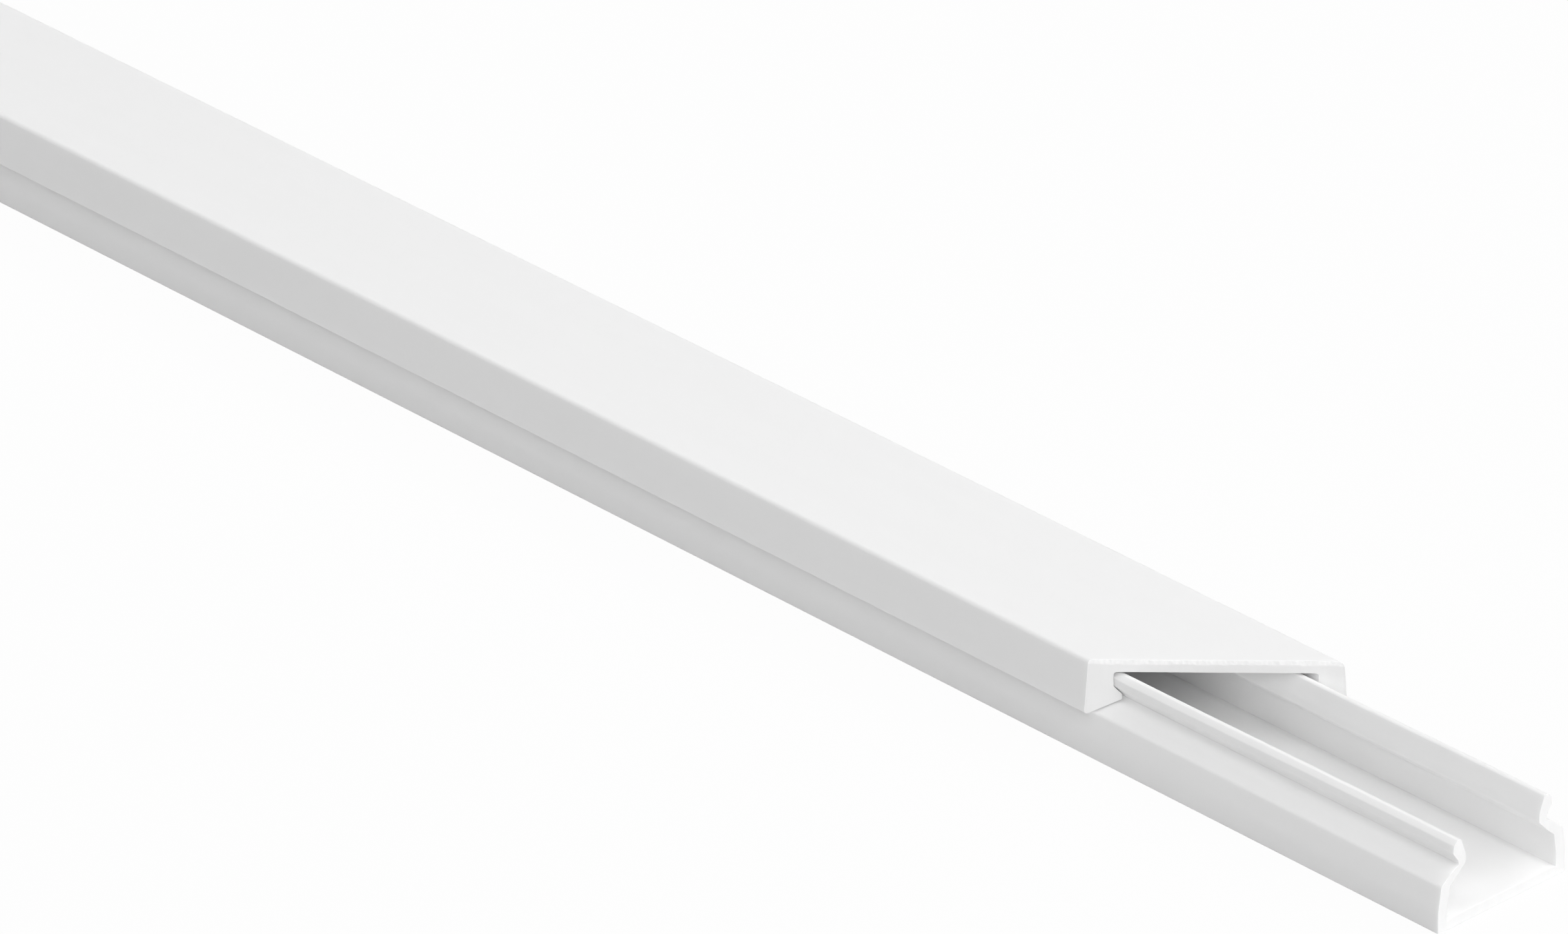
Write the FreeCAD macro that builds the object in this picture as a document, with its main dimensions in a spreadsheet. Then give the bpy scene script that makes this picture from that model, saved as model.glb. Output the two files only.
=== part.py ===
"""Cord cover raceway: an open channel and the lid that snaps over it, both extruded in rigid PVC.

The channel lies on its flat underside with its length along X, the near end at +X, and the origin is
the middle of its underside. Its two side walls lean in, turn inwards at a shoulder and end in an upright
lip with a bead outside. The lid is a flat plate with two legs. Each leg covers the shoulder and has a
hook that reaches under the bead, so the lid snaps on from above and slides along. The near end of the
lid is sawn to a mitre and set back from the channel's square end.
"""
import FreeCAD, Part
import math
import os

import Sketcher

SIZES = [
    ("length", 400.0, "length of the channel"),
    ("base_width", 16.0, "width across the channel's side walls"),
    ("floor_thickness", 1.1, "thickness of the channel's floor"),
    ("wall_thickness", 1.1, "thickness of the channel's side walls"),
    ("upright_height", 2.2, "height at which the side walls start to lean in"),
    ("wall_lean", 0.35, "how far each side wall leans in below the shoulder"),
    ("shoulder_height", 4.65, "height of the shoulder's outer corner"),
    ("shoulder_angle", 38.0, "slope of the shoulder's outer face"),
    ("inner_shoulder_drop", 0.3, "how far the shoulder's inner corner lies below its outer corner"),
    ("inner_shoulder_angle", 41.0, "slope of the shoulder's inner face"),
    ("neck_inset", 2.35, "how far the neck's outer face stands in from the side wall"),
    ("neck_thickness", 1.02, "thickness of the lip at its neck"),
    ("neck_height", 0.4, "height of the neck's upright outer face"),
    ("bead_depth", 0.57, "how far the bead stands out from the neck"),
    ("bead_rise", 0.82, "height of the bead's sloping underside"),
    ("bead_face", 0.77, "height of the bead's outer face"),
    ("bead_lean", 0.1, "how far the bead's outer face leans in"),
    ("crown_height", 0.4, "height of the lip's crown above the bead's outer face"),
    ("crown_width", 0.4, "width of the flat on the lip's crown"),
    ("lip_bend_rise", 0.85, "height of the throat, from which the lip's inner face leans out"),
    ("bottom_radius", 0.35, "rounding of the channel's bottom edges"),
    ("floor_radius", 0.15, "rounding between floor and side walls"),
    ("lean_radius", 6.0, "rounding where the side walls start to lean"),
    ("shoulder_radius", 1.0, "rounding of the shoulder's outer corner"),
    ("throat_radius", 0.7, "rounding of the throat below the lip"),
    ("lip_bend_radius", 2.0, "rounding where the lip's inner face starts to lean out"),
    ("neck_radius", 0.4, "rounding into and out of the neck"),
    ("snap_radius", 0.25, "rounding of the bead, the crown and the shoulder's inner corner"),
    ("lid_thickness", 1.2, "thickness of the lid's plate"),
    ("lid_overhang", 0.1, "how far the lid's top stands out past the channel's side walls"),
    ("leg_flare", 0.27, "how far each leg leans out from the lid's top edge to its foot"),
    ("foot_angle", 34.0, "slope of the underside of the legs"),
    ("head_gap", 0.25, "clearance between the lip's crown and the lid's plate"),
    ("seat_gap", 0.1, "upright clearance between a hook's foot and the shoulder"),
    ("hook_gap", 0.3, "clearance between a hook's tip and the neck"),
    ("catch_gap", 0.45, "upright clearance between a hook and the bead's underside"),
    ("pocket_gap", 0.28, "clearance between the bead and the side of its pocket"),
    ("lid_edge_radius", 0.45, "rounding of the lid's top edges"),
    ("foot_radius", 0.15, "rounding of the feet of the legs"),
    ("hook_radius", 0.2, "rounding of the hooks"),
    ("pocket_radius", 0.25, "rounding inside the pockets"),
    ("lid_setback", 27.3, "how far the mitre's point stands back from the channel's near end"),
    ("mitre_angle", 45.0, "angle of the lid's near end away from a square cut"),
    ("saw_overrun", 1.0, "how far the saw runs past the lid's sides"),
]

# An edge this close to a corner, in mm, runs through it
SAME_PLACE = 1e-5

doc = FreeCAD.newDocument("Raceway")
sheet = doc.addObject("Spreadsheet::Sheet", "Sizes")
for row, (alias, value, meaning) in enumerate(SIZES, start=1):
    sheet.set("A%d" % row, meaning)
    sheet.set("B%d" % row, str(value))
    sheet.setAlias("B%d" % row, alias)
doc.recompute()

# Places across the section that channel and lid share, as formulas of the sheet's sizes
SIDE = "Sizes.base_width / 2"
WALL_TOP = SIDE + " - Sizes.wall_lean"
NECK = SIDE + " - Sizes.neck_inset"
THROAT = NECK + " - Sizes.neck_thickness"
BEAD = NECK + " + Sizes.bead_depth"
SHOULDER_SLOPE = "tan(Sizes.shoulder_angle * 1 deg)"
BEAD_SLOPE = "Sizes.bead_rise / Sizes.bead_depth"
NECK_FOOT = "Sizes.shoulder_height + (Sizes.neck_inset - Sizes.wall_lean) * " + SHOULDER_SLOPE
NECK_TOP = NECK_FOOT + " + Sizes.neck_height"
BEAD_FOOT = NECK_TOP + " + Sizes.bead_rise"
BEAD_TOP = BEAD_FOOT + " + Sizes.bead_face"
CROWN = BEAD_TOP + " + Sizes.crown_height"

# The channel's half section, from the bottom edge up the outside and down the inside
INNER_SIDE = SIDE + " - Sizes.wall_thickness"
INNER_TOP = WALL_TOP + " - Sizes.wall_thickness"
INNER_SHOULDER = "Sizes.shoulder_height - Sizes.inner_shoulder_drop"
THROAT_FOOT = (INNER_SHOULDER + " + (" + INNER_TOP + " - (" + THROAT + ")) * "
               "tan(Sizes.inner_shoulder_angle * 1 deg)")
CHANNEL = [
    ("bottom", SIDE, "0"),
    ("lean", SIDE, "Sizes.upright_height"),
    ("shoulder", WALL_TOP, "Sizes.shoulder_height"),
    ("neck_foot", NECK, NECK_FOOT),
    ("neck_top", NECK, NECK_TOP),
    ("bead_foot", BEAD, BEAD_FOOT),
    ("bead_top", BEAD + " - Sizes.bead_lean", BEAD_TOP),
    ("crown_outer", NECK, CROWN),
    ("crown_inner", NECK + " - Sizes.crown_width", CROWN),
    ("lip_bend", THROAT, THROAT_FOOT + " + Sizes.lip_bend_rise"),
    ("throat", THROAT, THROAT_FOOT),
    ("inner_shoulder", INNER_TOP, INNER_SHOULDER),
    ("inner_lean", INNER_SIDE, "Sizes.upright_height"),
    ("floor_corner", INNER_SIDE, "Sizes.floor_thickness"),
]

# The lid's half section, from the top edge down the leg, round the hook and up the pocket
LID_SIDE = SIDE + " + Sizes.lid_overhang"
FLARED_SIDE = LID_SIDE + " + Sizes.leg_flare"
HOOK = NECK + " + Sizes.hook_gap"
POCKET = BEAD + " + Sizes.pocket_gap"
HOOK_FOOT = NECK_FOOT + " - Sizes.hook_gap * " + SHOULDER_SLOPE + " + Sizes.seat_gap"
FOOT = HOOK_FOOT + " - (" + FLARED_SIDE + " - (" + HOOK + ")) * tan(Sizes.foot_angle * 1 deg)"
PLATE_FOOT = CROWN + " + Sizes.head_gap"
LID = [
    ("top_edge", LID_SIDE, PLATE_FOOT + " + Sizes.lid_thickness"),
    ("foot", FLARED_SIDE, FOOT),
    ("hook_foot", HOOK, HOOK_FOOT),
    ("hook_top", HOOK, NECK_TOP + " + Sizes.hook_gap * " + BEAD_SLOPE + " - Sizes.catch_gap"),
    ("pocket_foot", POCKET, BEAD_FOOT + " + Sizes.pocket_gap * " + BEAD_SLOPE + " - Sizes.catch_gap"),
    ("pocket_top", POCKET, PLATE_FOOT),
]


def origin_plane(body, role):
    """The body's own origin plane of that role."""
    return next(plane for plane in body.Origin.OriginFeatures if plane.Role == role)


def sketch_on(body, role, name):
    """A new sketch on one of the body's origin planes."""
    sketch = body.newObject("Sketcher::SketchObject", name)
    sketch.AttachmentSupport = [(origin_plane(body, role), "")]
    sketch.MapMode = "FlatFace"
    return sketch


def closed_outline(sketch, points):
    """Straight lines round the points, joined end to end."""
    vectors = [FreeCAD.Vector(across, up, 0) for across, up in points]
    for index, start in enumerate(vectors):
        sketch.addGeometry(Part.LineSegment(start, vectors[(index + 1) % len(vectors)]))
    for index in range(len(vectors)):
        sketch.addConstraint(Sketcher.Constraint("Coincident", index, 2, (index + 1) % len(vectors), 1))


def bind(sketch, kind, line, name, formula):
    """Hold the start of a line at a distance from the sketch's origin, given by a formula."""
    size = float(sheet.evalExpression(formula))
    number = sketch.addConstraint(Sketcher.Constraint(kind, -1, 1, line, 1, size))
    sketch.renameConstraint(number, name)
    sketch.setExpression("Constraints." + name, formula)


def section(body, corners):
    """The full section: the named corners on the +Y side, and the same mirrored about the mid-plane."""
    sketch = sketch_on(body, "YZ_Plane", body.Name + "_section")
    half = [(float(sheet.evalExpression(across)), float(sheet.evalExpression(up)))
            for _, across, up in corners]
    closed_outline(sketch, half + [(-across, up) for across, up in reversed(half)])
    for index, (name, across, up) in enumerate(corners):
        bind(sketch, "DistanceX", index, name + "_across", across)
        if up == "0":
            sketch.addConstraint(Sketcher.Constraint("PointOnObject", index, 1, -1))
        else:
            bind(sketch, "DistanceY", index, name + "_up", up)
        mirrored = 2 * len(corners) - 1 - index
        sketch.addConstraint(Sketcher.Constraint("Symmetric", index, 1, mirrored, 1, -2))
    return sketch


def extrude(body, sketch, length):
    """Pad the section along X by a formula."""
    pad = body.newObject("PartDesign::Pad", body.Name + "_extrusion")
    pad.Profile = sketch
    pad.setExpression("Length", length)
    sketch.Visibility = False
    doc.recompute()


def round_corners(body, sketch, corners, names, radius):
    """Round the long edges that run through the named corners, on both sides of the section."""
    tip = body.Tip
    places = []
    for index, (name, _, _) in enumerate(corners):
        if name in names:
            corner = sketch.getPoint(index, 1)
            places += [(corner.x, corner.y), (-corner.x, corner.y)]
    edges = []
    for number, edge in enumerate(tip.Shape.Edges, start=1):
        first, last = edge.Vertexes[0].Point, edge.Vertexes[-1].Point
        if math.hypot(first.y - last.y, first.z - last.z) > SAME_PLACE:
            continue
        if any(math.hypot(first.y - across, first.z - up) < SAME_PLACE for across, up in places):
            edges.append("Edge%d" % number)
    if len(edges) != len(places):
        raise RuntimeError("found %d edges for %s, not %d" % (len(edges), names, len(places)))
    fillet = body.newObject("PartDesign::Fillet", body.Name + "_" + radius)
    fillet.Base = (tip, edges)
    fillet.setExpression("Radius", "Sizes." + radius)
    body.Tip = fillet
    doc.recompute()


def new_body(name):
    """A body whose own X starts at the raceway's far end."""
    body = doc.addObject("PartDesign::Body", name)
    body.Label = name
    body.setExpression("Placement.Base.x", "-Sizes.length / 2")
    return body


def base_channel():
    """The channel that is fixed to the wall, sawn square at both ends."""
    body = new_body("base_channel")
    sketch = section(body, CHANNEL)
    extrude(body, sketch, "Sizes.length")
    for names, radius in [
        (["bottom"], "bottom_radius"),
        (["floor_corner"], "floor_radius"),
        (["lean", "inner_lean"], "lean_radius"),
        (["shoulder"], "shoulder_radius"),
        (["throat"], "throat_radius"),
        (["lip_bend"], "lip_bend_radius"),
        (["neck_foot", "neck_top"], "neck_radius"),
        (["bead_foot", "bead_top", "crown_outer", "crown_inner", "inner_shoulder"], "snap_radius"),
    ]:
        round_corners(body, sketch, CHANNEL, names, radius)
    return body


def snap_lid():
    """The lid, sawn to a mitre at its near end and square at its far end."""
    body = new_body("snap_lid")
    sketch = section(body, LID)
    extrude(body, sketch, "Sizes.length - Sizes.lid_setback")
    for names, radius in [
        (["top_edge"], "lid_edge_radius"),
        (["foot"], "foot_radius"),
        (["hook_foot", "hook_top"], "hook_radius"),
        (["pocket_foot", "pocket_top"], "pocket_radius"),
    ]:
        round_corners(body, sketch, LID, names, radius)
    saw_mitre(body)
    return body


def saw_mitre(body):
    """Take the corner off the lid's near end, from its far side back towards its near side."""
    end = "Sizes.length - Sizes.lid_setback"
    reach = FLARED_SIDE + " + Sizes.saw_overrun"
    slope = "tan(Sizes.mitre_angle * 1 deg)"
    outer = end + " + Sizes.saw_overrun * " + slope
    inner = outer + " - 2 * (" + reach + ") * " + slope
    sketch = sketch_on(body, "XY_Plane", "mitre_outline")
    limit, start = float(sheet.evalExpression(outer)), float(sheet.evalExpression(inner))
    side = float(sheet.evalExpression(reach))
    closed_outline(sketch, [(limit, side), (start, -side), (limit, -side)])
    bind(sketch, "DistanceX", 0, "point_along", outer)
    bind(sketch, "DistanceY", 0, "point_across", reach)
    bind(sketch, "DistanceX", 1, "heel_along", inner)
    sketch.addConstraint(Sketcher.Constraint("Horizontal", 1))
    sketch.addConstraint(Sketcher.Constraint("Symmetric", 0, 1, 2, 1, -1))
    whole = body.Tip.Shape.Volume
    cut = body.newObject("PartDesign::Pocket", "mitre_cut")
    cut.Profile = sketch
    cut.Type = "ThroughAll"
    cut.Reversed = True
    sketch.Visibility = False
    doc.recompute()
    if cut.Shape.Volume >= whole:
        raise RuntimeError("the mitre cuts nothing")


bodies = [base_channel(), snap_lid()]
doc.recompute()
for item in doc.Objects:
    if "Invalid" in item.State or "Error" in item.State:
        raise RuntimeError("%s failed: %s" % (item.Name, item.State))
for body in bodies:
    shape = body.Shape
    if shape.isNull() or not shape.isValid() or len(shape.Solids) != 1:
        raise RuntimeError("%s is not one valid solid" % body.Label)

os.makedirs("parts", exist_ok=True)
for body in bodies:
    body.Shape.exportStep("parts/%s.step" % body.Label)
    box = body.Shape.BoundBox
    print("%s: x %.2f..%.2f  y %.2f..%.2f  z %.2f..%.2f  volume %.0f" % (
        body.Label, box.XMin, box.XMax, box.YMin, box.YMax, box.ZMin, box.ZMax, body.Shape.Volume))
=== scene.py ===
"""Looks of a cord cover raceway: an open channel and its lid, extruded in white rigid PVC.

Each piece is modelled again along the section that its solid has, with finely rounded corners, the
broken edges and burrs that a saw leaves, and the slight spring of the channel's lips, which the lid
pulls at. Sizes of the pieces are millimetres until a mesh is made. All others are metres.
"""

import math

import bpy
import numpy as np
from mathutils import Matrix, Vector, geometry, noise


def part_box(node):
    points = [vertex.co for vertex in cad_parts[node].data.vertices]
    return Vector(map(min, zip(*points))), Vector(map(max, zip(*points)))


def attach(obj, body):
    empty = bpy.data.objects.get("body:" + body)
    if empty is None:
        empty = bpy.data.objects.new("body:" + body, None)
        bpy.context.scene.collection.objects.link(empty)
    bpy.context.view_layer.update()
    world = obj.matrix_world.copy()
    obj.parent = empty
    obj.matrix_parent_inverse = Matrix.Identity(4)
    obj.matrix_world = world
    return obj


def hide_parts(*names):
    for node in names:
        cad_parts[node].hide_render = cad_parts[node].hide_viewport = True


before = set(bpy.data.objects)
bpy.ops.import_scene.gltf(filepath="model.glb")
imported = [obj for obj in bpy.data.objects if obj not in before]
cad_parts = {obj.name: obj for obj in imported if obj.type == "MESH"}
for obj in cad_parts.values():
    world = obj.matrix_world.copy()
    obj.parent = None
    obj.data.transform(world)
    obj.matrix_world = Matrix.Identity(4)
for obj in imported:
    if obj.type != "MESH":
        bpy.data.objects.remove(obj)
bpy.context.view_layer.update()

MM = 0.001

# Section of the channel
BASE_WIDTH = 16.0
FLOOR_THICKNESS = 1.1
WALL_THICKNESS = 1.1
UPRIGHT_HEIGHT = 2.2
WALL_LEAN = 0.35
SHOULDER_HEIGHT = 4.65
SHOULDER_ANGLE = 38.0
INNER_SHOULDER_DROP = 0.3
INNER_SHOULDER_ANGLE = 41.0
NECK_INSET = 2.35
NECK_THICKNESS = 1.02
NECK_HEIGHT = 0.4
BEAD_DEPTH = 0.57
BEAD_RISE = 0.82
BEAD_FACE = 0.77
BEAD_LEAN = 0.1
CROWN_HEIGHT = 0.4
CROWN_WIDTH = 0.4
LIP_BEND_RISE = 0.85
BOTTOM_RADIUS = 0.15
LEAN_RADIUS = 6.0
SHOULDER_RADIUS = 0.5
THROAT_RADIUS = 0.35
LIP_BEND_RADIUS = 2.0
NECK_RADIUS = 0.2
SNAP_RADIUS = 0.25

# The shoulder dips slightly towards the neck, to a crease cut into the neck's foot
CREASE = 0.2
CREASE_DROP = 0.08
CREASE_REACH = 0.9
CREASE_RADIUS = 0.04

# The floor dips slightly towards the corners with the walls
DIP = 0.2
DIP_WIDTH = 0.8
DIP_RADIUS = 0.06
DIP_RIM_RADIUS = 1.5

# How the lips spring: the near one leans out under the lid, the far one rises at the free end
LEAN_OUT = math.radians(6)
LEAN_ROOT = (5.1, 6.0)
LEAN_START = 5.8
LEAN_FULL = 6.7
LEAN_STRETCH = (156.0, 196.0)
FAR_RISE = 0.2
FAR_RISE_START = 4.6
FAR_RISE_FULL = 6.3
FAR_RISE_STRETCH = (173.0, 198.0)

# Section of the lid
LID_THICKNESS = 1.2
LID_OVERHANG = 0.1
LEG_FLARE = 0.27
FOOT_ANGLE = 34.0
HEAD_GAP = 0.25
SEAT_GAP = 0.1
HOOK_GAP = 0.3
CATCH_GAP = 0.45
POCKET_GAP = 0.28
LID_EDGE_RADIUS = 0.45
FOOT_RADIUS = 0.15
HOOK_RADIUS = 0.2
POCKET_RADIUS = 0.25

# Places across the section that channel and lid share
SIDE = BASE_WIDTH / 2
WALL_TOP = SIDE - WALL_LEAN
NECK = SIDE - NECK_INSET
THROAT = NECK - NECK_THICKNESS
BEAD = NECK + BEAD_DEPTH
SHOULDER_SLOPE = math.tan(math.radians(SHOULDER_ANGLE))
BEAD_SLOPE = BEAD_RISE / BEAD_DEPTH
NECK_FOOT = SHOULDER_HEIGHT + (WALL_TOP - NECK) * SHOULDER_SLOPE
NECK_TOP = NECK_FOOT + NECK_HEIGHT
BEAD_FOOT = NECK_TOP + BEAD_RISE
BEAD_TOP = BEAD_FOOT + BEAD_FACE
CROWN = BEAD_TOP + CROWN_HEIGHT

# The channel's half section, from the bottom edge up the outside and down the inside, with each radius
INNER_SIDE = SIDE - WALL_THICKNESS
INNER_TOP = WALL_TOP - WALL_THICKNESS
INNER_SHOULDER = SHOULDER_HEIGHT - INNER_SHOULDER_DROP
THROAT_FOOT = INNER_SHOULDER + (INNER_TOP - THROAT) * math.tan(math.radians(INNER_SHOULDER_ANGLE))
CHANNEL = [
    (SIDE, 0, BOTTOM_RADIUS),
    (SIDE, UPRIGHT_HEIGHT, LEAN_RADIUS),
    (WALL_TOP, SHOULDER_HEIGHT, SHOULDER_RADIUS),
    (NECK + CREASE_REACH, NECK_FOOT - CREASE_REACH * SHOULDER_SLOPE, DIP_RIM_RADIUS),
    (NECK - CREASE, NECK_FOOT - CREASE_DROP, CREASE_RADIUS),
    (NECK, NECK_TOP, NECK_RADIUS),
    (BEAD, BEAD_FOOT, SNAP_RADIUS),
    (BEAD - BEAD_LEAN, BEAD_TOP, SNAP_RADIUS),
    (NECK, CROWN, SNAP_RADIUS),
    (NECK - CROWN_WIDTH, CROWN, SNAP_RADIUS),
    (THROAT, THROAT_FOOT + LIP_BEND_RISE, LIP_BEND_RADIUS),
    (THROAT, THROAT_FOOT, THROAT_RADIUS),
    (INNER_TOP, INNER_SHOULDER, SNAP_RADIUS),
    (INNER_SIDE, UPRIGHT_HEIGHT, LEAN_RADIUS),
    (INNER_SIDE, FLOOR_THICKNESS - DIP, DIP_RADIUS),
    (INNER_SIDE - DIP_WIDTH, FLOOR_THICKNESS, DIP_RIM_RADIUS),
]

# The lid's half section, from the top edge down the leg, round the hook and up the pocket
LID_SIDE = SIDE + LID_OVERHANG
FLARED_SIDE = LID_SIDE + LEG_FLARE
HOOK = NECK + HOOK_GAP
POCKET = BEAD + POCKET_GAP
HOOK_FOOT = NECK_FOOT - HOOK_GAP * SHOULDER_SLOPE + SEAT_GAP
FOOT = HOOK_FOOT - (FLARED_SIDE - HOOK) * math.tan(math.radians(FOOT_ANGLE))
PLATE_FOOT = CROWN + HEAD_GAP
LID_TOP = PLATE_FOOT + LID_THICKNESS
LID = [
    (LID_SIDE, LID_TOP, LID_EDGE_RADIUS),
    (FLARED_SIDE, FOOT, FOOT_RADIUS),
    (HOOK, HOOK_FOOT, HOOK_RADIUS),
    (HOOK, NECK_TOP + HOOK_GAP * BEAD_SLOPE - CATCH_GAP, HOOK_RADIUS),
    (POCKET, BEAD_FOOT + POCKET_GAP * BEAD_SLOPE - CATCH_GAP, POCKET_RADIUS),
    (POCKET, PLATE_FOOT, POCKET_RADIUS),
]

# Ends of both pieces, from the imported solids
NEAR_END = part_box("base_channel")[1].x / MM
FAR_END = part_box("base_channel")[0].x / MM
LID_SETBACK = 27.3
MITRE_POINT = NEAR_END - LID_SETBACK
MITRE_SLOPE = 1.0

# Fineness of the meshes, with the rings of a broken edge as shares of it
ARC_STEP = math.radians(10)
FLAT_STEP = 0.3
RING_STEP = 4.0
EDGE_RINGS = (0.0, 0.15, 0.45, 1.0)
RINGS_NEAR_SAW = (0.08, 0.14, 0.22, 0.34, 0.55, 0.9, 1.5, 2.5)
CAP_STEP = 0.16
MITRE_CAP_STEP = 0.09
CAP_CLEARANCE = 0.6

# What the saw leaves
EDGE_BREAK = 0.03
SAW_MARK = 0.003
SAW_REACH = 1.0
BURR_HEIGHT = 0.035
BURR_LENGTH = 0.3
BURR_FROM = 0.15
BAND_HEIGHT = 0.42
BAND_DEPTH = 0.14
TORN_FROM = 0.015

# Seeds of the burrs on each piece's near end, and how far the far end's seed lies from it
CHANNEL_SEED = 11
LID_SEED = 23
FAR_SEED = 40

# Slots of the materials on a piece
SKIN = 0
SAWN = 1
TORN = 2

# The plastic: tones and roughnesses that each kind of surface lies between, and how deep light spreads
SKIN_TONES = (0.94, 0.92)
# The sawn faces are one plastic in two copies: the square end's tones are painted lighter, a painted
# light, and the lid's sawn tones darker, a painted shade for the mitre.
SQUARE_PAINTED_LIGHT_TONES = (0.91, 0.885)
MITRE_PAINTED_SHADE_TONES = (0.87, 0.85)
# The torn band's tones are whitened plastic and, in part, a painted highlight on the band.
TORN_TONES_WITH_PAINTED_HIGHLIGHT = (0.91, 0.84)
SKIN_ROUGHNESS = (0.62, 0.72)
SAWN_ROUGHNESS = (0.55, 0.7)
TORN_ROUGHNESS = (0.6, 0.8)
DULLNESS_SCALE = (60, 700, 700)
PVC_IOR = 1.53
GLOW_DEPTH = 0.0003

# Camera, solved from the photograph's parallel edges and square end, in degrees and pixels
PHOTO_SIZE = (2432, 1448)
CAMERA_AZIMUTH = 47.3587
CAMERA_ELEVATION = 28.276
CAMERA_ROLL = -0.731
FOCAL_PIXELS = 18937.3
CORNER_PIXEL = (2230.33, 1449.53)
PIXELS_PER_WIDTH = 283.276
SENSOR_WIDTH = 36.0

# Light and surroundings: each lamp's direction and its level
AMBIENT = 0.1
LAMP_DISTANCE = 3.0
LAMP_SIZE = 1.6
LAMPS = (
    ("overhead", (0, -1, 2.75), 0.16),
    ("front", (1, 0, 1), 0.35),
    ("left", (1, -1, 0.816), 0.302),
    ("right", (1, 1, 1.414), 0.285),
    ("behind", (0, 1, 1), 0.132),
    ("end_on", (1, 0, 0.21), 0.06),
    ("far_end", (-1, -0.3, 0.3), 0.06),
)
FLOOR_SIZE = 6.0
FLOOR_COLOUR = (0.79, 0.79, 0.79, 1)
FLOOR_GLOW = 0.95
FLOOR_GAP = 0.00002


def round_corner(before, corner, after, radius):
    """Points along the arc that rounds a corner, both of its ends included."""
    corner = Vector(corner)
    back = (Vector(before) - corner).normalized()
    on = (Vector(after) - corner).normalized()
    half_angle = back.angle(on) / 2
    reach = radius / math.tan(half_angle)
    centre = corner + (back + on).normalized() * radius / math.sin(half_angle)
    start = corner + back * reach - centre
    end = corner + on * reach - centre
    turn = math.copysign(start.angle(end), start.cross(end))
    steps = max(3, math.ceil(abs(turn) / ARC_STEP))
    return [centre + Matrix.Rotation(turn * step / steps, 2) @ start for step in range(steps + 1)]


def outline(half_corners):
    """The closed outline of a whole section, anticlockwise from +X, as points and outward normals."""
    corners = half_corners + [(-across, up, radius) for across, up, radius in reversed(half_corners)]
    rounded = []
    for index, (across, up, radius) in enumerate(corners):
        before = corners[index - 1][:2]
        after = corners[(index + 1) % len(corners)][:2]
        rounded.append(round_corner(before, (across, up), after, radius))
    points = []
    for index, arc in enumerate(rounded):
        points += arc
        gap = rounded[(index + 1) % len(rounded)][0] - arc[-1]
        steps = max(1, math.ceil(gap.length / FLAT_STEP))
        points += [arc[-1] + gap * step / steps for step in range(1, steps)]
    points = np.array(points)
    after = np.roll(points, -1, axis=0)
    if (points[:, 0] * after[:, 1] - after[:, 0] * points[:, 1]).sum() < 0:
        points = points[::-1]
    along = np.roll(points, -1, axis=0) - np.roll(points, 1, axis=0)
    along /= np.linalg.norm(along, axis=1)[:, None]
    return points, np.stack([along[:, 1], -along[:, 0]], axis=1)


def near_square(across):
    """Place of the channel's near end along X."""
    return NEAR_END


def far_square(across):
    """Place of both pieces' far end along X."""
    return FAR_END


def near_mitre(across):
    """Place of the mitre along X, which falls back from its point at the +Y side."""
    return MITRE_POINT - (FLARED_SIDE - across) * MITRE_SLOPE


def square_face(across, up):
    """How far a square sawn face stands out at a point, in shallow marks that run up the section."""
    coarse = noise.noise(Vector((across * 3.1, up * 0.5, 3.7)))
    fine = noise.noise(Vector((across * 9.0, up * 1.4, 9.2)))
    return SAW_MARK * (coarse + 0.5 * fine)


def torn_band(across, up):
    """How far the mitre's upper edge is torn back, in a ragged band along the lid's top."""
    ragged = noise.noise(Vector((across * 0.8, 0.3, 5.1)))
    ragged += 0.6 * noise.noise(Vector((across * 3.7, 0.9, 2.2)))
    height = BAND_HEIGHT * (1 + 0.3 * ragged)
    share = (up - LID_TOP + height) / height
    if share <= 0:
        return 0.0
    flakes = noise.noise(Vector((across * 2.9, up * 1.3, 1.3)))
    flakes += 0.5 * noise.noise(Vector((across * 7.0, up * 3.0, 4.4)))
    return BAND_DEPTH * share * (1 + 0.4 * flakes)


def mitred_face(across, up):
    """How far the mitred face stands out along X from the mitre's own plane."""
    return (square_face(across, up) - torn_band(across, up)) * math.sqrt(2)


def ragged_edge(points, seed):
    """Height of the burr at each point of an outline, most of them nothing."""
    heights = []
    for across, up in points:
        coarse = noise.noise(Vector((across * 1.6, up * 1.6, seed)))
        fine = noise.noise(Vector((across * 6, up * 6, seed)))
        heights.append(BURR_HEIGHT * max(0.0, coarse + 0.5 * fine - BURR_FROM))
    return np.array(heights)


def ramp(value, start, full):
    """0 up to the start and 1 from the full value on, with a smooth rise between them."""
    share = np.clip((value - start) / (full - start), 0, 1)
    return share * share * (3 - 2 * share)


def sprung_lips(along, section):
    """The channel's section at this place along it, with its near lip leant out and its far one raised."""
    across, up = section[:, 0], section[:, 1]
    near = across < 0
    lean = LEAN_OUT * (1 - ramp(along, *LEAN_STRETCH)) * ramp(up, LEAN_START, LEAN_FULL) * near
    aside, above = across + LEAN_ROOT[0], up - LEAN_ROOT[1]
    leant = aside * np.cos(lean) - above * np.sin(lean) - LEAN_ROOT[0]
    lifted = above * np.cos(lean) + aside * np.sin(lean) + LEAN_ROOT[1]
    rise = FAR_RISE * ramp(along, *FAR_RISE_STRETCH) * ramp(up, FAR_RISE_START, FAR_RISE_FULL) * ~near
    return np.column_stack([leant, lifted + rise])


def unsprung(along, section):
    """The lid's section, which is the same all along it."""
    return section


def edge_profile(distance, burrs):
    """How far a ring at this distance from a sawn end stands out from the section."""
    inset = 0.0
    if distance < EDGE_BREAK:
        inset = EDGE_BREAK - math.sqrt(EDGE_BREAK ** 2 - (EDGE_BREAK - distance) ** 2)
    fade = max(0.0, 1 - distance / BURR_LENGTH) ** 2
    return burrs * fade - inset


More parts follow.
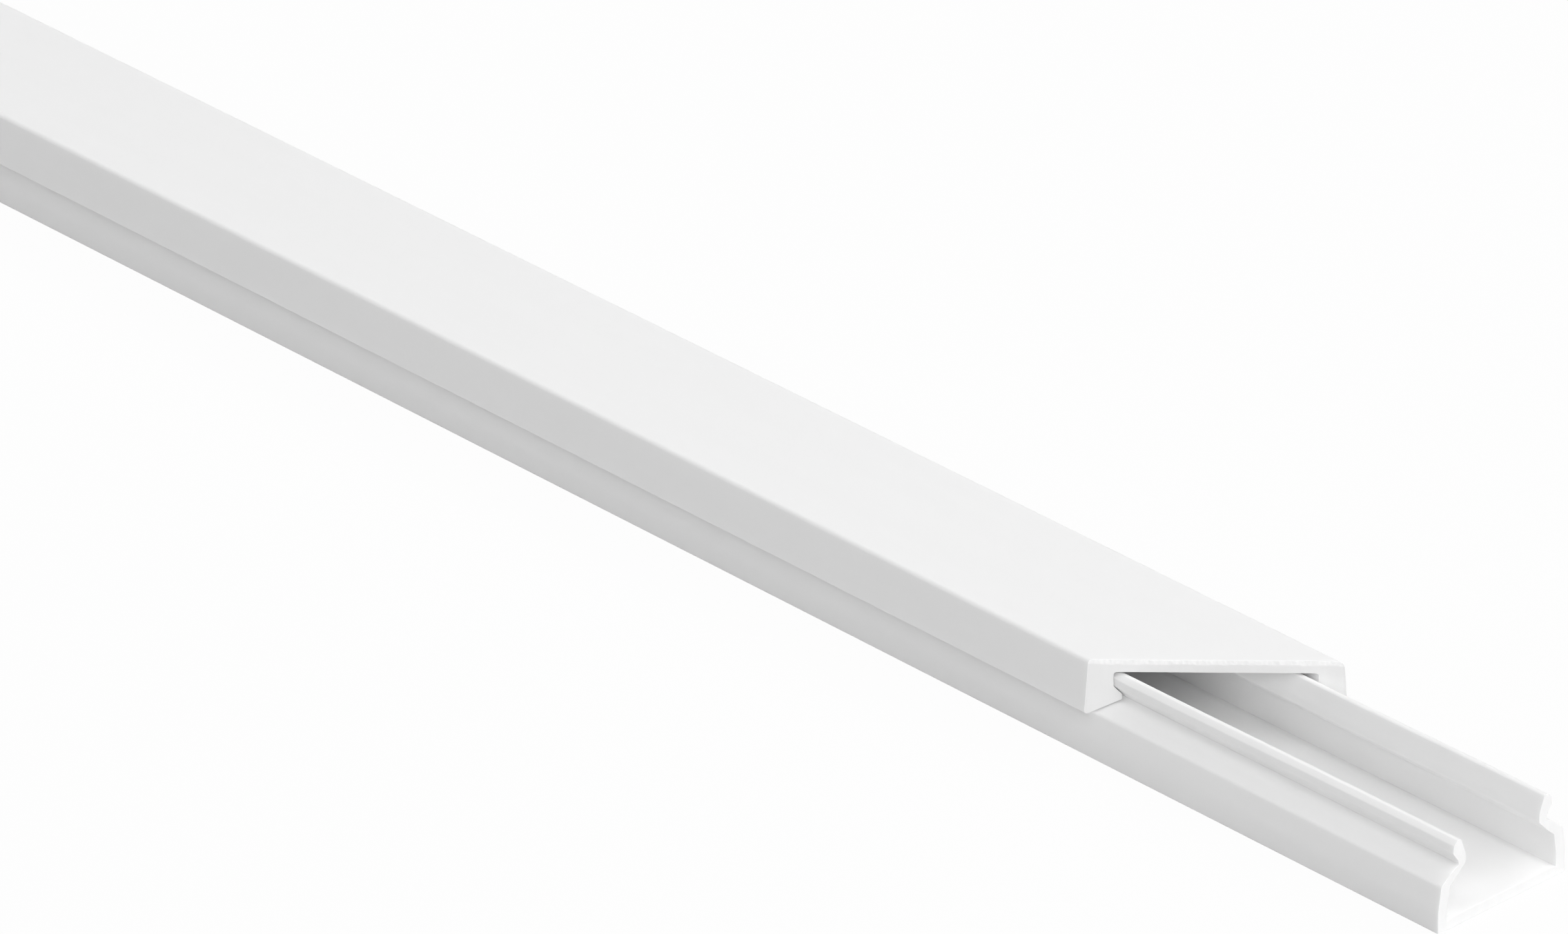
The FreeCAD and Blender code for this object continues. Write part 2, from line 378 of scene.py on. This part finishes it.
def ring_distances(length):
    """How far each ring lies behind the near end, with the rings close together at both sawn ends."""
    near_saw = [EDGE_BREAK * share for share in EDGE_RINGS] + list(RINGS_NEAR_SAW)
    first, last = RING_STEP, length - RING_STEP
    middle = np.linspace(first, last, round((last - first) / RING_STEP) + 1)
    return near_saw + list(middle) + [length - distance for distance in reversed(near_saw)]


def rings_of_points(half_corners, near_plane, near_face, spring, seed):
    """The points of each ring of a piece from the near end to the far one, with all that bends them."""
    points, normals = outline(half_corners)
    length = near_plane(0) - FAR_END
    near_burrs = ragged_edge(points, seed)
    far_burrs = ragged_edge(points, seed + FAR_SEED)
    near_relief = np.array([near_face(across, up) for across, up in points])
    far_relief = np.array([square_face(across, up) for across, up in points])
    near_places = np.array([near_plane(across) for across, _ in points])
    rings = []
    for distance in ring_distances(length):
        behind = length - distance
        out = edge_profile(distance, near_burrs) + edge_profile(behind, far_burrs)
        section = points + normals * out[:, None]
        section[:, 1] = np.maximum(section[:, 1], 0)
        section = spring(near_plane(0) - distance, section)
        along = near_places + (FAR_END - near_places) * (distance / length)
        along += near_relief * max(0.0, 1 - distance / SAW_REACH)
        along -= far_relief * max(0.0, 1 - behind / SAW_REACH)
        rings.append(np.column_stack([along, section]))
    return rings


def inner_points(points, step):
    """A regular grid of points inside an outline, clear of its edge."""
    low, high = points.min(0), points.max(0)
    starts, ends = points, np.roll(points, -1, axis=0)
    sides = ends - starts
    found = []
    for across in np.arange(low[0] + step / 2, high[0], step):
        for up in np.arange(low[1] + step / 2, high[1], step):
            place = np.array([across, up])
            share = np.clip(((place - starts) * sides).sum(1) / (sides ** 2).sum(1), 0, 1)
            gaps = np.linalg.norm(starts + sides * share[:, None] - place, axis=1)
            crosses = (starts[:, 1] > up) != (ends[:, 1] > up)
            at = starts[crosses, 0] + (up - starts[crosses, 1]) / sides[crosses, 1] * sides[crosses, 0]
            if gaps.min() > step * CAP_CLEARANCE and (at > across).sum() % 2:
                found.append(place)
    return found


def cap(points, step):
    """Triangles that fill an outline: the extra inner points, and the corners of each triangle."""
    extra = inner_points(points, step)
    flat = [Vector(place) for place in points] + [Vector(place) for place in extra]
    loop = list(range(len(points)))
    _, _, faces, origins, _, _ = geometry.delaunay_2d_cdt(flat, [], [loop], 1, 1e-7)
    triangles = [[origins[corner][0] for corner in face] for face in faces]
    return np.array(extra), triangles


def extrusion(name, half_corners, near_plane, near_face, near_step, spring, seed):
    """A piece of one section from the near end to the far end, closed by its two sawn faces."""
    vertices = rings_of_points(half_corners, near_plane, near_face, spring, seed)
    rings = len(vertices)
    count = len(vertices[0])
    faces = []
    for here in range(0, (rings - 1) * count, count):
        there = here + count
        for index in range(count):
            after = (index + 1) % count
            faces.append([here + index, there + index, there + after, here + after])
    slots = [SKIN] * len(faces)
    for ring, plane, face, outward, step in (
        (0, near_plane, near_face, 1, near_step),
        (rings - 1, far_square, square_face, -1, CAP_STEP),
    ):
        rim = vertices[ring][:, 1:]
        extra, triangles = cap(rim, step)
        places = np.concatenate([rim, extra])
        inner = sum(len(block) for block in vertices)
        vertices.append(np.array([[plane(across) + outward * face(across, up), across, up]
                                  for across, up in extra]))
        for triangle in triangles:
            corners = [ring * count + corner if corner < count else inner + corner - count
                       for corner in triangle]
            faces.append(corners[::outward])
            slots.append(TORN if face(*places[triangle].mean(0)) < -TORN_FROM else SAWN)
    mesh = bpy.data.meshes.new(name)
    mesh.from_pydata((np.concatenate(vertices) * MM).tolist(), [], faces)
    mesh.polygons.foreach_set("use_smooth", [slot != TORN for slot in slots])
    mesh.polygons.foreach_set("material_index", slots)
    ring_pairs = [(edge.vertices[0] // count, edge.vertices[1] // count) for edge in mesh.edges]
    sharp = [one == other and one in (0, rings - 1) for one, other in ring_pairs]
    mesh.edges.foreach_set("use_edge_sharp", sharp)
    mesh.validate()
    piece = bpy.data.objects.new(name, mesh)
    bpy.context.scene.collection.objects.link(piece)
    even = piece.modifiers.new("even_shading", "WEIGHTED_NORMAL")
    even.keep_sharp = True
    return piece


def new_material(name):
    """A material with an empty node tree and its output."""
    material = bpy.data.materials.new(name)
    material.use_nodes = True
    material.node_tree.nodes.clear()
    return material, material.node_tree, material.node_tree.nodes.new("ShaderNodeOutputMaterial")


def stretched_noise(tree, scale, detail):
    """Noise over the piece's own coordinates, with its own scale along, across and up, per metre."""
    place = tree.nodes.new("ShaderNodeTexCoord")
    stretch = tree.nodes.new("ShaderNodeMapping")
    stretch.inputs["Scale"].default_value = scale
    texture = tree.nodes.new("ShaderNodeTexNoise")
    texture.inputs["Scale"].default_value = 1
    texture.inputs["Detail"].default_value = detail
    tree.links.new(place.outputs["Object"], stretch.inputs["Vector"])
    tree.links.new(stretch.outputs["Vector"], texture.inputs["Vector"])
    return texture.outputs["Fac"]


def spread(tree, value, low, high):
    """The value, which noise keeps about 0.5, spread between two limits."""
    reach = tree.nodes.new("ShaderNodeMapRange")
    reach.inputs["From Min"].default_value = 0.3
    reach.inputs["From Max"].default_value = 0.7
    reach.inputs["To Min"].default_value = low
    reach.inputs["To Max"].default_value = high
    tree.links.new(value, reach.inputs["Value"])
    return reach.outputs["Result"]


def bump(tree, height, distance, below=None):
    """Relief of the given height in metres, on top of the relief below."""
    relief = tree.nodes.new("ShaderNodeBump")
    relief.inputs["Distance"].default_value = distance
    relief.inputs["Strength"].default_value = 1
    tree.links.new(height, relief.inputs["Height"])
    if below:
        tree.links.new(below, relief.inputs["Normal"])
    return relief.outputs["Normal"]


def pvc(name, tones, roughness, tone_scale, glow, marks):
    """White rigid PVC. Glow is the share of light that spreads below the surface. Marks are pairs of a
    noise scale and a relief height."""
    material, tree, output = new_material(name)
    shader = tree.nodes.new("ShaderNodeBsdfPrincipled")
    shader.inputs["IOR"].default_value = PVC_IOR
    shader.inputs["Subsurface Weight"].default_value = glow
    shader.inputs["Subsurface Radius"].default_value = (1, 1, 1)
    shader.inputs["Subsurface Scale"].default_value = GLOW_DEPTH
    mottle = tree.nodes.new("ShaderNodeMix")
    mottle.data_type = "RGBA"
    for side, tone in zip("AB", tones):
        mottle.inputs[side].default_value = (tone, tone, tone, 1)
    tree.links.new(spread(tree, stretched_noise(tree, tone_scale, 4), 0, 1), mottle.inputs["Factor"])
    tree.links.new(mottle.outputs["Result"], shader.inputs["Base Color"])
    dullness = spread(tree, stretched_noise(tree, DULLNESS_SCALE, 3), *roughness)
    tree.links.new(dullness, shader.inputs["Roughness"])
    normal = None
    for scale, height in marks:
        normal = bump(tree, stretched_noise(tree, scale, 3), height, normal)
    tree.links.new(normal, shader.inputs["Normal"])
    tree.links.new(shader.outputs["BSDF"], output.inputs["Surface"])
    return material


def extruded_pvc():
    """Satin skin as it leaves the die: faint lines along X, a slow mottle and a fine grain."""
    return pvc("pvc_extruded", SKIN_TONES, SKIN_ROUGHNESS, (14, 160, 160), 1, [
        ((6, 2600, 2600), 1.6e-6),
        ((300, 700, 700), 1.5e-6),
        ((5200, 5200, 5200), 5e-7),
    ])


def sawn_pvc(name, tones):
    """Dull sawn face with fine marks up the section, in the tones given: one copy is painted lighter as
    the square end's light, another darker as the mitre's shade.
    """
    return pvc(name, tones, SAWN_ROUGHNESS, (900, 900, 300), 0, [
        ((5000, 5000, 900), 3e-6),
        ((9000, 9000, 9000), 2e-6),
    ])


def torn_pvc_painted_highlight():
    """Plastic torn by the saw, rough and whitened, its tones also raised as a painted highlight on the
    upward-tilted band.
    """
    return pvc("pvc_torn_painted_highlight", TORN_TONES_WITH_PAINTED_HIGHLIGHT, TORN_ROUGHNESS, (3000, 3000, 800), 0, [
        ((3000, 3000, 900), 2e-5),
        ((9000, 9000, 9000), 4e-6),
    ])


def build_channel(skin):
    """The channel, with both ends sawn square."""
    channel = extrusion("channel_profile", CHANNEL, near_square, square_face, CAP_STEP, sprung_lips,
                        CHANNEL_SEED)
    channel.data.materials.append(skin)
    # The channel's sawn ends get the copy painted lighter, a painted light.
    channel.data.materials.append(sawn_pvc("pvc_sawn_square_painted_light", SQUARE_PAINTED_LIGHT_TONES))
    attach(channel, "channel")
    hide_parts("base_channel")


def build_lid(skin):
    """The lid, with its near end sawn to a mitre."""
    lid = extrusion("lid_profile", LID, near_mitre, mitred_face, MITRE_CAP_STEP, unsprung, LID_SEED)
    lid.data.materials.append(skin)
    # The lid's sawn ends get the copy painted darker, a painted shade.
    lid.data.materials.append(sawn_pvc("pvc_sawn_mitre_painted_shade", MITRE_PAINTED_SHADE_TONES))
    # The torn band gets whitened tones with a painted highlight.
    lid.data.materials.append(torn_pvc_painted_highlight())
    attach(lid, "lid")
    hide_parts("snap_lid")


def aim_camera():
    """The photograph's camera: its turn, and its place from the pixel of the channel's near corner."""
    azimuth = math.radians(CAMERA_AZIMUTH)
    elevation = math.radians(CAMERA_ELEVATION)
    roll = math.radians(CAMERA_ROLL)
    back = Vector((math.sin(azimuth) * math.cos(elevation), -math.cos(azimuth) * math.cos(elevation),
                   math.sin(elevation)))
    level = Vector((math.cos(azimuth), math.sin(azimuth), 0))
    rise = back.cross(level)
    right = level * math.cos(roll) + rise * math.sin(roll)
    up = rise * math.cos(roll) - level * math.sin(roll)
    distance = FOCAL_PIXELS / PIXELS_PER_WIDTH * BASE_WIDTH * MM
    corner = Vector((NEAR_END, -BASE_WIDTH / 2, 0)) * MM
    beside = (CORNER_PIXEL[0] - PHOTO_SIZE[0] / 2) / FOCAL_PIXELS * distance
    above = (PHOTO_SIZE[1] / 2 - CORNER_PIXEL[1]) / FOCAL_PIXELS * distance
    data = bpy.data.cameras.new("camera")
    data.sensor_width = SENSOR_WIDTH
    data.lens = FOCAL_PIXELS / PHOTO_SIZE[0] * SENSOR_WIDTH
    camera = bpy.data.objects.new("camera", data)
    bpy.context.scene.collection.objects.link(camera)
    place = corner - right * beside - up * above + back * distance
    camera.matrix_world = Matrix.Translation(place) @ Matrix((right, up, back)).transposed().to_4x4()
    bpy.context.scene.camera = camera


def seen_directly(tree):
    """1 for camera, glossy and transmission rays, and 0 for the rays that light the object."""
    path = tree.nodes.new("ShaderNodeLightPath")
    total = path.outputs["Is Camera Ray"]
    for name in ("Is Glossy Ray", "Is Transmission Ray"):
        either = tree.nodes.new("ShaderNodeMath")
        either.operation = "MAXIMUM"
        tree.links.new(total, either.inputs[0])
        tree.links.new(path.outputs[name], either.inputs[1])
        total = either.outputs[0]
    return total


def surround():
    """A plain world that looks white and lights the object evenly from all round."""
    world = bpy.data.worlds.new("studio")
    world.use_nodes = True
    tree = world.node_tree
    light = tree.nodes["Background"]
    light.inputs["Color"].default_value = (1, 1, 1, 1)
    level = tree.nodes.new("ShaderNodeMapRange")
    level.inputs["To Min"].default_value = AMBIENT
    level.inputs["To Max"].default_value = 1
    tree.links.new(seen_directly(tree), level.inputs["Value"])
    tree.links.new(level.outputs["Result"], light.inputs["Strength"])
    bpy.context.scene.world = world


def lay_floor():
    """A plain pale floor that looks nearly white and keeps the object's shadow."""
    half = FLOOR_SIZE / 2
    corners = [(-half, -half, -FLOOR_GAP), (half, -half, -FLOOR_GAP), (half, half, -FLOOR_GAP),
               (-half, half, -FLOOR_GAP)]
    mesh = bpy.data.meshes.new("floor")
    mesh.from_pydata(corners, [], [(0, 1, 2, 3)])
    floor = bpy.data.objects.new("floor", mesh)
    bpy.context.scene.collection.objects.link(floor)
    material, tree, output = new_material("floor_paper")
    paper = tree.nodes.new("ShaderNodeBsdfDiffuse")
    paper.inputs["Color"].default_value = FLOOR_COLOUR
    glow = tree.nodes.new("ShaderNodeEmission")
    share = tree.nodes.new("ShaderNodeMath")
    share.operation = "MULTIPLY"
    share.inputs[1].default_value = FLOOR_GLOW
    both = tree.nodes.new("ShaderNodeMixShader")
    tree.links.new(seen_directly(tree), share.inputs[0])
    tree.links.new(share.outputs[0], both.inputs["Fac"])
    tree.links.new(paper.outputs["BSDF"], both.inputs[1])
    tree.links.new(glow.outputs["Emission"], both.inputs[2])
    tree.links.new(both.outputs["Shader"], output.inputs["Surface"])
    mesh.materials.append(material)


def hang_lamps():
    """Large soft lamps round the object, all turned towards it."""
    for name, direction, level in LAMPS:
        data = bpy.data.lights.new(name, "AREA")
        data.shape = "SQUARE"
        data.size = LAMP_SIZE
        data.energy = level * math.pi ** 2 * LAMP_DISTANCE ** 2
        lamp = bpy.data.objects.new(name, data)
        towards = Vector(direction).normalized()
        lamp.location = towards * LAMP_DISTANCE
        lamp.rotation_mode = "QUATERNION"
        lamp.rotation_quaternion = towards.to_track_quat("Z", "Y")
        bpy.context.scene.collection.objects.link(lamp)


skin = extruded_pvc()
build_channel(skin)
build_lid(skin)
aim_camera()
surround()
lay_floor()
hang_lamps()
bpy.context.scene.view_settings.view_transform = "Standard"
